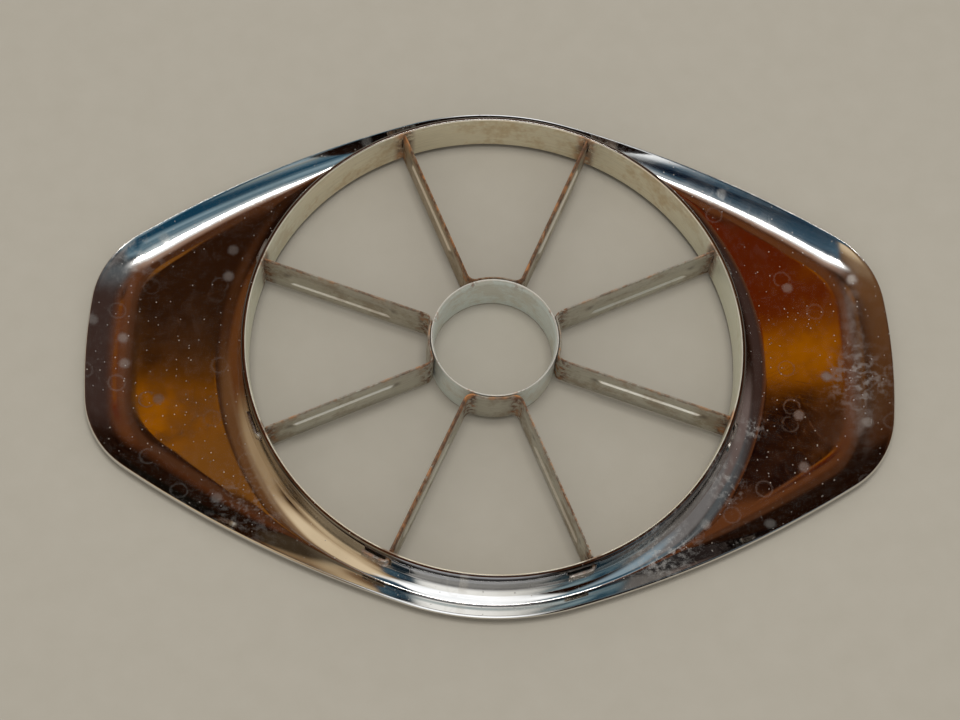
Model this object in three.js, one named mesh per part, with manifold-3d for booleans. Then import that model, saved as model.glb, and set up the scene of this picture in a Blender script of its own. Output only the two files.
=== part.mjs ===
// A hand-held apple slicer and corer, lying on its back with the cutting edges up.
// Millimetres, +Z up, X along the two handle wings. The origin lies under the middle of the
// round opening, on the surface that the pans of the wings rest on.
import * as THREE from 'three';
import { mergeVertices } from 'three/addons/utils/BufferGeometryUtils.js';
import Module from 'manifold-3d';

const wasm = await Module();
wasm.setup();

const degrees = Math.PI / 180;
const quarterTurn = Math.PI / 2;

// Frame: one chromed pressing with an upright collar, two dished wings and a curled-up rim
const sheet = 0.7;
const openingRadius = 51;
const frameHeight = 11;
const collarUpright = 5.6;
const coveReach = 6.2;
const rimRise = 2.3;
const sideRimReach = 6.6;
const endRimReach = 11;

// Outline of the frame: round waist, gently bowed sides, round corners and bowed ends. The two
// wings differ a little in how steeply their sides leave the waist.
const waistMargin = 5.1;
const wingLength = 27.1;
const leftSideSlope = 18.2 * degrees;
const rightSideSlope = 16.3 * degrees;
const sideBow = 229;
const cornerRadius = 20;
const endBow = 117;

// Plain steel strip ring that sits in the collar, its upper edge broken on the inside
const bandWall = 0.7;
const bandHeight = 9.7;
const bandEdge = 0.45;
const bandGrind = 0.3;

// Tube that cuts the core out, ground thin at the top
const coreRadius = 13.1;
const coreWall = 0.6;
const coreHeight = 10.5;

// Four strips, each bent into two blades with the core ring between them
const stripSheet = 0.7;
const stripHeight = 9.7;
const bendRadius = 1.7;
const edgeWidth = 0.25;
const edgeGrind = 1.2;
const sideSpan = 43.6 * degrees;
const crossSpan = 45.3 * degrees;
const sideTurn = 2.2 * degrees;
const crossTurn = -0.8 * degrees;

// Rib pressed along the middle of each blade
const ribHalfHeight = 1.3;
const ribDepth = 0.45;
const ribCoreInset = 8.5;
const ribBandInset = 5;
const ribRunout = 1.6;

// Tab at each blade's end, through the band and the collar and folded over outside
const tabDrop = 2.2;
const tabHeight = 2.8;
const tabFold = 4.6;
const tabBend = 0.8;
const tabRoot = 1;
const tabInset = 0.05;

// Clearance between pieces that touch on the real object, and how far a cut runs past a face
const seat = 0.3;
const overrun = 1;

// Shapes of the cove, of the rim's curl and of the valley between them, and how much of a
// section's floor the cove or the curl may take
const coveRoundness = 2.4;
const rimCurl = 2.3;
const valleyBlend = 3;
const roomShare = 0.46;

// Faces of each curve
const endSteps = 3;
const cornerSteps = 6;
const sideSteps = 9;
const waistSteps = 4;
const coveSteps = 7;
const rimSteps = 6;
const bandSteps = 96;
const coreSteps = 56;
const bendSteps = 4;
const hugSteps = 8;
const foldSteps = 3;

// Radii and heights that the pieces share
const collarOutside = openingRadius + sheet;
const waistRadius = collarOutside + waistMargin;
const halfLength = waistRadius + wingLength;
const bandOutside = openingRadius - seat;
const bandInside = bandOutside - bandWall;
const hugRadius = coreRadius + seat + stripSheet / 2;
const bladeEnd = bandInside - seat;
const foldRadius = collarOutside + seat + stripSheet / 2;
const tabTop = frameHeight - tabDrop;
const tabBottom = tabTop - tabHeight;

function steel(color, roughness) {
  return new THREE.MeshStandardMaterial({ color, roughness, metalness: 1 });
}

// Six times the volume inside a closed skin, negative when its faces are turned inwards
function signedVolume(vertices, triangles) {
  const corners = [new THREE.Vector3(), new THREE.Vector3(), new THREE.Vector3()];
  let volume = 0;
  for (let i = 0; i < triangles.length; i += 3) {
    corners.forEach((corner, k) => corner.fromArray(vertices, 3 * triangles[i + k]));
    volume += corners[0].dot(corners[1].cross(corners[2]));
  }
  return volume;
}

// A closed geometry as a solid, with its faces turned outwards
function toSolid(geometry) {
  const bare = geometry.clone();
  bare.deleteAttribute('normal');
  bare.deleteAttribute('uv');
  const merged = mergeVertices(bare);
  const vertProperties = Float32Array.from(merged.attributes.position.array);
  const triVerts = Uint32Array.from(merged.index.array);
  if (signedVolume(vertProperties, triVerts) < 0) {
    triVerts.reverse();
  }
  return new wasm.Manifold(new wasm.Mesh({ numProp: 3, vertProperties, triVerts }));
}

function toMesh(name, solid, material) {
  const { vertProperties, triVerts } = solid.getMesh();
  const positions = new THREE.BufferAttribute(Float32Array.from(vertProperties), 3);
  const geometry = new THREE.BufferGeometry();
  geometry.setAttribute('position', positions);
  geometry.setIndex(new THREE.BufferAttribute(Uint32Array.from(triVerts), 1));
  geometry.computeVertexNormals();
  const mesh = new THREE.Mesh(geometry, material);
  mesh.name = name;
  return mesh;
}

// Skin over a row of sections with equally many points. A row that closes on itself has no
// ends. An open row gets flat ends, and there the second half of a section's points runs back
// beside the first half.
function loft(sections, closed) {
  const count = sections[0].length;
  const index = [];
  const quad = (a, b, c, d) => index.push(a, b, c, a, c, d);
  const spans = closed ? sections.length : sections.length - 1;
  for (let i = 0; i < spans; i += 1) {
    const here = i * count;
    const next = ((i + 1) % sections.length) * count;
    for (let k = 0; k < count; k += 1) {
      const after = (k + 1) % count;
      quad(here + k, next + k, next + after, here + after);
    }
  }
  if (!closed) {
    const last = (sections.length - 1) * count;
    for (let k = 0; k < count / 2 - 1; k += 1) {
      const back = count - 1 - k;
      quad(k, k + 1, back - 1, back);
      quad(last + back, last + back - 1, last + k + 1, last + k);
    }
  }
  const positions = sections.flat().flatMap((point) => point.toArray());
  const geometry = new THREE.BufferGeometry();
  geometry.setAttribute('position', new THREE.Float32BufferAttribute(positions, 3));
  geometry.setIndex(index);
  return geometry;
}

function polar(radius, angle) {
  return new THREE.Vector2(radius * Math.cos(angle), radius * Math.sin(angle));
}

// Far quarter of one wing's outline, as four arcs that run smoothly into each other
function wingArcs(sideSlope) {
  const waistEnd = quarterTurn - sideSlope;
  const sideCentre = polar(waistRadius - sideBow, waistEnd);
  const endCentre = polar(halfLength - endBow, 0);
  const toSide = sideBow - cornerRadius;
  const toEnd = endBow - cornerRadius;
  const apart = endCentre.distanceTo(sideCentre);
  const cosine = (toSide ** 2 + apart ** 2 - toEnd ** 2) / (2 * toSide * apart);
  const lean = endCentre.clone().sub(sideCentre).angle();
  const sideEnd = lean - Math.acos(cosine);
  const cornerCentre = polar(toSide, sideEnd).add(sideCentre);
  const cornerEnd = cornerCentre.clone().sub(endCentre).angle();
  const waistCentre = new THREE.Vector2();
  return [
    { centre: endCentre, radius: endBow, from: 0, to: cornerEnd, steps: endSteps },
    { centre: cornerCentre, radius: cornerRadius, from: cornerEnd, to: sideEnd, steps: cornerSteps },
    { centre: sideCentre, radius: sideBow, from: sideEnd, to: waistEnd, steps: sideSteps },
    { centre: waistCentre, radius: waistRadius, from: waistEnd, to: quarterTurn, steps: waistSteps },
  ];
}
const rightArcs = wingArcs(rightSideSlope);
const leftArcs = wingArcs(leftSideSlope);

// Points of a quarter outline, from the wing's end up to but without the middle of the waist
function quarterOutline(arcs) {
  return arcs.flatMap(({ centre, radius, from, to, steps }) => {
    const points = [];
    for (let i = 0; i < steps; i += 1) {
      points.push(polar(radius, THREE.MathUtils.lerp(from, to, i / steps)).add(centre));
    }
    return points;
  });
}

// The whole outline, once round and counterclockwise from the middle of the right end
function wholeOutline() {
  const middle = new THREE.Vector2(0, waistRadius);
  const right = quarterOutline(rightArcs);
  const left = quarterOutline(leftArcs).map((point) => new THREE.Vector2(-point.x, point.y));
  const far = [...right, middle, ...left.reverse()];
  const near = far.slice(1, -1).map((point) => new THREE.Vector2(point.x, -point.y));
  return [...far, ...near.reverse()];
}

// How far a point inside the outline lies from it
function edgeDistance(x, y) {
  const point = new THREE.Vector2(Math.abs(x), Math.abs(y));
  const [end, corner, side, waist] = x < 0 ? leftArcs : rightArcs;
  const bearing = (arc) => Math.atan2(point.y - arc.centre.y, point.x - arc.centre.x);
  let nearest = corner;
  if (bearing(waist) > waist.from) {
    nearest = waist;
  } else if (bearing(side) > side.from) {
    nearest = side;
  } else if (bearing(end) < end.to) {
    nearest = end;
  }
  return nearest.radius - point.distanceTo(nearest.centre);
}

// Height of the cove at the foot of the collar
const coveHeight = frameHeight - collarUpright - sheet;
function coveRise(radius) {
  const left = THREE.MathUtils.clamp(1 - (radius - collarOutside) / coveReach, 0, 1);
  return coveHeight * (1 - (1 - left ** coveRoundness) ** (1 / coveRoundness));
}

// Width of the curl inside the rim, which grows round the ends of the wings
function rimReach(angle) {
  const endShare = Math.cos(angle) ** 8;
  return THREE.MathUtils.lerp(sideRimReach, endRimReach, endShare);
}

function rimHeight(x, y) {
  const left = 1 - edgeDistance(x, y) / rimReach(Math.atan2(y, x));
  return rimRise * Math.max(left, 0) ** rimCurl;
}

// Upper face of the wings: flat in the pans, and one smooth valley where cove and rim meet
function floorHeight(x, y) {
  const cove = coveRise(Math.hypot(x, y)) ** valleyBlend;
  const rim = rimHeight(x, y) ** valleyBlend;
  return sheet + (cove + rim) ** (1 / valleyBlend);
}

function floorNormal(x, y) {
  const step = sheet / 1000;
  const rise = (dx, dy) => floorHeight(x + dx, y + dy) - floorHeight(x - dx, y - dy);
  return new THREE.Vector3(-rise(step, 0), -rise(0, step), 2 * step).normalize();
}

// Radii of one section, closer together in the cove and in the rim than in the flat pan
function floorRadii(reach, bearing) {
  const room = roomShare * (reach - collarOutside);
  const beside = polar(reach - sheet, bearing);
  const slant = edgeDistance(beside.x, beside.y) / sheet;
  const coveWidth = Math.min(coveReach, room);
  const rimWidth = Math.min(rimReach(bearing) / slant, room);
  const radii = [];
  for (let i = 1; i <= coveSteps; i += 1) {
    radii.push(collarOutside + coveWidth * (1 - Math.cos(quarterTurn * (i / coveSteps))));
  }
  for (let i = 0; i <= rimSteps; i += 1) {
    radii.push(reach - rimWidth * (1 - i / rimSteps));
  }
  return radii;
}

// One section of the pressing, from the collar's top edge out to a point of the outline, with
// the upper face first and the lower face back
function frameSection(edge) {
  const bearing = edge.angle();
  const at = (radius, height) => {
    const spot = polar(radius, bearing);
    return new THREE.Vector3(spot.x, spot.y, height);
  };
  const collarFoot = frameHeight - collarUpright;
  const above = [at(collarOutside, frameHeight), at(collarOutside, collarFoot)];
  const below = [at(openingRadius, frameHeight), at(openingRadius, collarFoot)];
  for (const radius of floorRadii(edge.length(), bearing)) {
    const point = at(radius, 0);
    point.z = floorHeight(point.x, point.y);
    above.push(point);
    below.push(point.clone().addScaledVector(floorNormal(point.x, point.y), -sheet));
  }
  return [...above, ...below.reverse()];
}

// Upright ring with a plain lower edge, and an upper edge thinned from the inside
function ringSolid(outside, wall, height, topWall, grind, steps) {
  const inside = outside - wall;
  const bottom = frameHeight - height;
  const profile = [
    new THREE.Vector2(inside, bottom),
    new THREE.Vector2(outside, bottom),
    new THREE.Vector2(outside, frameHeight),
    new THREE.Vector2(outside - topWall, frameHeight),
    new THREE.Vector2(inside, frameHeight - grind),
    new THREE.Vector2(inside, bottom),
  ];
  return toSolid(new THREE.LatheGeometry(profile, steps).rotateX(quarterTurn));
}

// Centre line of one strip, seen from above with the core's centre at the origin and the
// strip's middle on +X. Each spot carries the direction that faces away from the strip's inside.
function stripPath(halfSpan) {
  const bendReach = hugRadius + bendRadius;
  const bendShift = Math.asin(bendRadius / bendReach);
  const hugEnd = halfSpan - bendShift;
  const bendCentre = polar(bendReach, hugEnd);
  const tangent = bendReach * Math.cos(bendShift);
  const away = polar(1, halfSpan + quarterTurn);
  const ribFrom = hugRadius + ribCoreInset;
  const ribTo = bladeEnd - ribBandInset;
  const blade = [bladeEnd, ribTo, ribTo - ribRunout, ribFrom + ribRunout, ribFrom, tangent];
  const spots = blade.map((radius, i) => ({
    point: polar(radius, halfSpan),
    away,
    ribShare: i === 2 || i === 3 ? 1 : 0,
  }));
  for (let i = 1; i < bendSteps; i += 1) {
    const turn = THREE.MathUtils.lerp(away.angle(), hugEnd + 2 * quarterTurn, i / bendSteps);
    const spoke = polar(bendRadius, turn);
    spots.push({ point: bendCentre.clone().add(spoke), away: polar(1, turn), ribShare: 0 });
  }
  for (let i = 0; i < hugSteps / 2; i += 1) {
    const angle = hugEnd * (1 - i / (hugSteps / 2));
    spots.push({ point: polar(hugRadius, angle), away: polar(-1, angle), ribShare: 0 });
  }
  const middle = { point: polar(hugRadius, 0), away: polar(-1, 0), ribShare: 0 };
  const flip = (vector) => new THREE.Vector2(vector.x, -vector.y);
  const mirrored = spots.map((spot) => ({
    point: flip(spot.point),
    away: flip(spot.away),
    ribShare: spot.ribShare,
  }));
  return [...spots, middle, ...mirrored.reverse()];
}

// Section of a strip at one spot: ground to a thin upper edge, with the rib pushed outwards
function stripSection({ point, away, ribShare }) {
  const bottom = frameHeight - stripHeight;
  const middle = frameHeight - stripHeight / 2;
  const levels = [
    { z: bottom, half: stripSheet / 2, bulge: 0 },
    { z: middle - ribHalfHeight, half: stripSheet / 2, bulge: 0 },
    { z: middle - ribHalfHeight / 2, half: stripSheet / 2, bulge: ribDepth * Math.SQRT1_2 },
    { z: middle, half: stripSheet / 2, bulge: ribDepth },
    { z: middle + ribHalfHeight / 2, half: stripSheet / 2, bulge: ribDepth * Math.SQRT1_2 },
    { z: middle + ribHalfHeight, half: stripSheet / 2, bulge: 0 },
    { z: frameHeight - edgeGrind, half: stripSheet / 2, bulge: 0 },
    { z: frameHeight, half: edgeWidth / 2, bulge: 0 },
  ];
  const face = (sideways) => levels.map(({ z, half, bulge }) => {
    const spot = point.clone().addScaledVector(away, sideways * half + ribShare * bulge);
    return new THREE.Vector3(spot.x, spot.y, z);
  });
  return [...face(1), ...face(-1).reverse()];
}

// Centre line of a tab along +X, out through the collar and then clockwise along its outside
function tabPath() {
  const bendCentreRadius = foldRadius - tabBend;
  const foldStart = Math.asin(tabBend / bendCentreRadius);
  const bendCentre = polar(bendCentreRadius, -foldStart);
  const spots = [
    { point: polar(bladeEnd - tabRoot, 0), away: polar(1, quarterTurn) },
    { point: polar(bendCentre.x, 0), away: polar(1, quarterTurn) },
  ];
  for (let i = 1; i <= foldSteps; i += 1) {
    const turn = THREE.MathUtils.lerp(quarterTurn, -foldStart, i / foldSteps);
    const spoke = polar(tabBend, turn);
    spots.push({ point: bendCentre.clone().add(spoke), away: polar(1, turn) });
  }
  for (let i = 1; i <= foldSteps; i += 1) {
    const angle = -foldStart - (tabFold / foldRadius) * (i / foldSteps);
    spots.push({ point: polar(foldRadius, angle), away: polar(1, angle) });
  }
  return spots;
}

function tabSection({ point, away }) {
  const half = stripSheet / 2 - tabInset;
  const corner = (sideways, z) => {
    const spot = point.clone().addScaledVector(away, sideways * half);
    return new THREE.Vector3(spot.x, spot.y, z);
  };
  return [corner(1, tabBottom), corner(1, tabTop), corner(-1, tabTop), corner(-1, tabBottom)];
}

function stripSolid(halfSpan, bearing) {
  const strip = toSolid(loft(stripPath(halfSpan).map(stripSection), false));
  const tabs = [halfSpan, -halfSpan].map((angle) => {
    return toSolid(loft(tabPath().map(tabSection), false).rotateZ(angle));
  });
  return strip.add(tabs[0]).add(tabs[1]).rotate(0, 0, bearing / degrees);
}

// The block that cuts one tab's slot through the band and the collar
function slotSolid(bearing) {
  const length = collarOutside - bandInside + 2 * overrun;
  const block = new THREE.BoxGeometry(length, stripSheet + 2 * seat, tabHeight + 2 * seat);
  const middle = (collarOutside + bandInside) / 2;
  return toSolid(block.translate(middle, 0, (tabTop + tabBottom) / 2).rotateZ(bearing));
}

const strips = [
  { name: 'blade_strip_right', bearing: sideTurn, span: sideSpan },
  { name: 'blade_strip_far', bearing: quarterTurn + crossTurn, span: crossSpan },
  { name: 'blade_strip_left', bearing: 2 * quarterTurn + sideTurn, span: sideSpan },
  { name: 'blade_strip_near', bearing: 3 * quarterTurn + crossTurn, span: crossSpan },
];
const slots = strips.flatMap(({ bearing, span }) => {
  return [slotSolid(bearing - span / 2), slotSolid(bearing + span / 2)];
});
const withSlots = (solid) => slots.reduce((rest, slot) => rest.subtract(slot), solid);

const frame = withSlots(toSolid(loft(wholeOutline().map(frameSection), true)));
const band = withSlots(ringSolid(bandOutside, bandWall, bandHeight, bandEdge, bandGrind, bandSteps));
const core = ringSolid(coreRadius, coreWall, coreHeight, edgeWidth, edgeGrind, coreSteps);

const slicer = new THREE.Group();
slicer.add(toMesh('frame_pressing', frame, steel(0xd6d8da, 0.12)));
slicer.add(toMesh('cutting_band', band, steel(0x96917f, 0.42)));
slicer.add(toMesh('core_ring', core, steel(0x8f8b7e, 0.4)));
for (const { name, bearing, span } of strips) {
  slicer.add(toMesh(name, stripSolid(span / 2, bearing), steel(0x847d70, 0.45)));
}
export default slicer;
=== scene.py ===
# %% [markdown]
# # A worn apple slicer, lying on its back
#
# The object is a hand tool: a chromed pressing with two wings, a steel band inside its
# collar, a core ring in the middle and four bent strips that make eight blades. The packed
# model gives every piece its real size. This lesson keeps those sizes and gives each piece
# the smooth curves, the worn edges and the finish that the photograph shows.

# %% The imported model
import math

import bmesh
import bpy
from mathutils import Matrix, Vector


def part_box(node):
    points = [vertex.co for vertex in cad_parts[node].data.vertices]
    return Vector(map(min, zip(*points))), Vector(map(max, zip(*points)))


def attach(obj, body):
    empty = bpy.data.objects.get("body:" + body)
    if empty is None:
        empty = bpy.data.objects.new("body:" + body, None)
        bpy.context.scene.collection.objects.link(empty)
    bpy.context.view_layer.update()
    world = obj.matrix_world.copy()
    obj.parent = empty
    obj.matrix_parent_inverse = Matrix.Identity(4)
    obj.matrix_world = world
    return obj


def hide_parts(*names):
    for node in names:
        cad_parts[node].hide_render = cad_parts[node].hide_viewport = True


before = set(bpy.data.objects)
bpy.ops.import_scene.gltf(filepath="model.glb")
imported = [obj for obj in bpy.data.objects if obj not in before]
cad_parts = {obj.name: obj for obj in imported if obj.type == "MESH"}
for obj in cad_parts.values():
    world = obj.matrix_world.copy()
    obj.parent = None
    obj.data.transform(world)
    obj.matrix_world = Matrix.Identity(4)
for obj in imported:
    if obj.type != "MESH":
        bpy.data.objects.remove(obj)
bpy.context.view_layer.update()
print("packed nodes:", sorted(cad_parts))

# %% [markdown]
# ## Sizes
#
# Lengths are in metres, so each number that was measured in millimetres is multiplied once
# by `mm`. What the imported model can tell, such as the height of the collar, is read from it.
# The last three sizes say how round the edges are.

# %% Sizes of the pieces
mm = 0.001
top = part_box("frame_pressing")[1].z
sheet = 0.7 * mm
opening_radius = 51 * mm
collar_outside = opening_radius + sheet
collar_height = 5.6 * mm
collar_foot = top - collar_height
band_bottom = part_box("cutting_band")[0].z
core_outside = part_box("core_ring")[1].x
core_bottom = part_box("core_ring")[0].z
core_wall = 0.6 * mm
strip_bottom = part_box("blade_strip_right")[0].z
strip_sheet = 0.7 * mm
seat = 0.3 * mm
press_round = 0.12 * mm
ground_round = 0.06 * mm
strip_round = 0.05 * mm
print("collar top, mm:", round(top / mm, 2), "core outside, mm:", round(core_outside / mm, 2))

# %% [markdown]
# ## Camera
#
# The photograph was taken from above and a little from the near side. A camera was fitted to
# the round edge of the opening, which only one place and one focal length make look as it
# does. The lens is long, so the far side is hardly smaller than the near side.

# %% Camera
camera_place = Vector((-22.9, -175.8, 401.4)) * mm
camera_tilt = 23.59
camera_lean = -2.762
camera_roll = -0.327
focal_length = 78.69


def add_camera():
    data = bpy.data.cameras.new("photograph_camera")
    data.lens = focal_length
    data.clip_start = 10 * mm
    camera = bpy.data.objects.new("photograph_camera", data)
    camera.location = camera_place
    turns = (camera_tilt, camera_lean, camera_roll)
    camera.rotation_euler = [math.radians(turn) for turn in turns]
    bpy.context.scene.collection.objects.link(camera)
    bpy.context.scene.camera = camera
    return camera


print("camera stands at, mm:", [round(v / mm) for v in add_camera().location])

# %% [markdown]
# ## Small tools for modelling
#
# Nearly every piece here is a line of points that is drawn out again and again: a circle that
# grows into a dished wing, or a blade's section that travels along its centre line. One
# helper extrudes the open edges and lets a function say where each new point goes. Two more
# close a mesh: one rounds the edges that a press or shears would leave, the other turns the
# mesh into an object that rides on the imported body.


# %% Modelling tools
def polar(radius, angle, height=0.0):
    return Vector((radius * math.cos(angle), radius * math.sin(angle), height))


def bearing_of(point):
    return math.atan2(point.y, point.x)


def draw_out(bm, edges, place):
    """Extrudes a line of edges and puts each new point where place(old point) says."""
    made = bmesh.ops.extrude_edge_only(bm, edges=edges)["geom"]
    fresh = {item for item in made if isinstance(item, bmesh.types.BMVert)}
    for vert in fresh:
        vert.co = place(vert.co.copy())
    lines = [item for item in made if isinstance(item, bmesh.types.BMEdge)]
    return [edge for edge in lines if set(edge.verts) <= fresh]


def sharp_edges(bm, limit):
    paired = [edge for edge in bm.edges if len(edge.link_faces) == 2]
    return [edge for edge in paired if edge.calc_face_angle() > math.radians(limit)]


def round_edges(bm, width, limit=50):
    edges = sharp_edges(bm, limit)
    bmesh.ops.bevel(
        bm,
        geom=edges,
        offset=width,
        offset_type="OFFSET",
        affect="EDGES",
        segments=2,
        profile=0.5,
        material=-1,
        clamp_overlap=True,
    )
    return len(edges)


def finish_piece(bm, name, node, crease=35):
    """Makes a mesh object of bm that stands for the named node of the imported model."""
    for face in bm.faces:
        face.smooth = True
    for edge in sharp_edges(bm, crease):
        edge.smooth = False
    mesh = bpy.data.meshes.new(name)
    bm.to_mesh(mesh)
    bm.free()
    piece = bpy.data.objects.new(name, mesh)
    bpy.context.scene.collection.objects.link(piece)
    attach(piece, "root")
    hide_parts(node)
    lows = [min(vert.co[i] for vert in mesh.vertices) / mm for i in range(3)]
    highs = [max(vert.co[i] for vert in mesh.vertices) / mm for i in range(3)]
    print(name, "faces:", len(mesh.polygons))
    print("  from", [round(v, 2) for v in lows], "to", [round(v, 2) for v in highs])
    return piece


# %% [markdown]
# ## Where the blades are
#
# Each strip makes two blades, so four strips give eight. On this tool they aren't spread
# quite evenly: the left and right strips span a little less than an eighth of a turn, and
# all four sit slightly turned. Each blade ends in a tab, which needs a slot in the band and
# in the collar.

# %% Blades and slots
quarter = math.pi / 2
side_span = math.radians(43.6)
cross_span = math.radians(45.3)
side_turn = math.radians(2.2)
cross_turn = math.radians(-0.8)
near_span = math.radians(46.2)
near_turn = math.radians(-1.25)
strips = {
    "right": (side_turn, side_span),
    "far": (quarter + cross_turn, cross_span),
    "left": (2 * quarter + side_turn, side_span),
    "near": (3 * quarter + near_turn, near_span),
}
blade_bearings = [turn + sign * span / 2 for turn, span in strips.values() for sign in (-1, 1)]
tab_drop = 2.2 * mm
tab_height = 2.8 * mm
tab_top = top - tab_drop
tab_bottom = tab_top - tab_height
slot_top = tab_top + seat
slot_bottom = tab_bottom - seat
slot_half_width = strip_sheet / 2 + seat


def cut_slots(bm, wall_radius):
    """Cuts a slot for each tab out of an upright wall with edge rings at the slots' heights."""
    for bearing in blade_bearings:
        outward = polar(1, bearing)
        sideways = polar(1, bearing + quarter)
        middle = outward * wall_radius
        middle.z = (slot_top + slot_bottom) / 2

        def faces_in_reach(half_width):
            found = []
            for face in bm.faces:
                offset = face.calc_center_median() - middle
                beside = abs(offset.dot(sideways)) < half_width
                level = abs(offset.z) < (slot_top - slot_bottom) / 2
                if beside and level and abs(offset.dot(outward)) < seat:
                    found.append(face)
            return found

        for side in (-1, 1):
            near = faces_in_reach(4 * slot_half_width)
            parts = near + list({edge for face in near for edge in face.edges})
            parts += list({vert for face in near for vert in face.verts})
            place = middle + sideways * side * slot_half_width
            bmesh.ops.bisect_plane(bm, geom=parts, plane_co=place, plane_no=sideways)
        bmesh.ops.delete(bm, geom=faces_in_reach(slot_half_width), context="FACES")


print("blade bearings, degrees:", [round(math.degrees(turn), 1) for turn in blade_bearings])

# %% [markdown]
# ## The outline of the frame
#
# Seen from above, the frame is a circle round the opening with two wings. A quarter of it is
# four arcs that run smoothly into each other: the bowed end of the wing, its round corner,
# its gently bowed side and the waist. The corner's centre isn't known beforehand. It lies
# where two circles cross, one inside the end's arc and one inside the side's arc.

# %% Outline
waist_width = 5.1 * mm
wing_reach = 27.1 * mm
waist_radius = collar_outside + waist_width
half_length = waist_radius + wing_reach
side_bow = 229 * mm
corner_radius = 20 * mm
end_bow = 117 * mm
right_slope = math.radians(16.3)
left_slope = math.radians(18.2)
hair = 1e-9


def wing_arcs(side_slope):
    """End, corner, side and waist of a far right quarter, each as (centre, radius, start)."""
    waist_from = quarter - side_slope
    side_centre = polar(waist_radius - side_bow, waist_from)
    end_centre = polar(half_length - end_bow, 0)
    to_side = side_bow - corner_radius
    to_end = end_bow - corner_radius
    gap = side_centre - end_centre
    cosine = (to_side**2 + gap.length_squared - to_end**2) / (2 * to_side * gap.length)
    side_from = bearing_of(-gap) - math.acos(cosine)
    corner_centre = side_centre + polar(to_side, side_from)
    corner_from = bearing_of(corner_centre - end_centre)
    return (
        (end_centre, end_bow, 0.0),
        (corner_centre, corner_radius, corner_from),
        (side_centre, side_bow, side_from),
        (Vector(), waist_radius, waist_from),
    )


right_arcs = wing_arcs(right_slope)
left_arcs = wing_arcs(left_slope)


def outline_reach(bearing):
    """Distance from the middle of the opening to the outline."""
    direction = polar(1, bearing)
    arcs = right_arcs if direction.x > 0 else left_arcs
    direction = Vector((abs(direction.x), abs(direction.y), 0))
    for centre, radius, start in reversed(arcs):
        if bearing_of(direction) >= bearing_of(centre + polar(radius, start)) - hair:
            break
    along = centre.dot(direction)
    return along + math.sqrt(radius**2 - centre.length_squared + along**2)


def edge_distance(point):
    """How far a point inside the outline lies from it."""
    folded = Vector((abs(point.x), abs(point.y), 0))
    end, corner, side, waist = left_arcs if point.x < 0 else right_arcs
    nearest = corner
    if bearing_of(folded) > waist[2]:
        nearest = waist
    elif bearing_of(folded - side[0]) > side[2]:
        nearest = side
    elif bearing_of(folded - end[0]) < corner[2]:
        nearest = end
    return nearest[1] - (folded - nearest[0]).length


print("length of the frame, mm:", round(2 * outline_reach(0.0) / mm, 1))

# %% [markdown]
# ## The frame's hollows
#
# A press forms the sheet in one stroke. From the opening outwards it comes down from an
# upright collar through a tight cove, lies flat in the pan of the wing and curls up at the
# rim. Beside the opening there is no room for a pan, so the cove and the curl run into one
# narrow gutter there. Adding the two heights with a high power keeps the pan flat and makes
# the gutter smooth.

# %% Height of the sheet
cove_height = collar_foot - sheet
cove_reach = 6.2 * mm
cove_roundness = 2.4
rim_rise = 2.3 * mm
side_rim_reach = 6.6 * mm
end_rim_reach = 11 * mm
rim_widening = 8
rim_curl = 2.3
valley_blend = 3
gutter_radius = 54.6 * mm


def cove_rise(radius):
    left = min(max(1 - (radius - collar_outside) / cove_reach, 0.0), 1.0)
    return cove_height * (1 - (1 - left**cove_roundness) ** (1 / cove_roundness))


def rim_reach(bearing):
    return side_rim_reach + (end_rim_reach - side_rim_reach) * math.cos(bearing) ** rim_widening


def rim_height(point):
    left = 1 - edge_distance(point) / rim_reach(bearing_of(point))
    return rim_rise * max(left, 0.0) ** rim_curl


def floor_height(point):
    cove = cove_rise(point.xy.length) / mm
    rim = rim_height(point) / mm
    return sheet + mm * (cove**valley_blend + rim**valley_blend) ** (1 / valley_blend)


gutter_height = floor_height(polar(gutter_radius, quarter)) - sheet
print("gutter above the pan, mm:", round(gutter_height / mm, 2))

# %% [markdown]
# ## The frame pressing
#
# Chrome shows every facet, so this piece has four times as many points round it as the
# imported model. It starts as one circle at the collar's top. Each ring is extruded and laid
# on the height that was worked out above. The sheet gets its thickness at the end, after
# the slots are cut, so that the slots' edges are as thick as the sheet. The collar's top edge
# is turned in a little, so that only a thin bright line of it shows.

# %% Frame pressing
frame_points = 384
cove_rings = 16
rim_rings = 16
room_share = 0.46
lip_ring = 0.25 * mm
lip_turn = 0.3 * mm


def floor_radius(bearing, ring):
    """Radius of one ring of the floor: the first are in the cove, the last in the curl."""
    reach = outline_reach(bearing)
    room = room_share * (reach - collar_outside)
    slant = edge_distance(polar(reach - sheet, bearing)) / sheet
    if ring <= cove_rings:
        share = 1 - math.cos(quarter * ring / cove_rings)
        return collar_outside + min(cove_reach, room) * share
    share = (ring - cove_rings - 1) / rim_rings
    radius = reach - min(rim_reach(bearing) / slant, room) * (1 - share)
    return min(radius, reach - lip_ring) if share < 1 else radius


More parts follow.
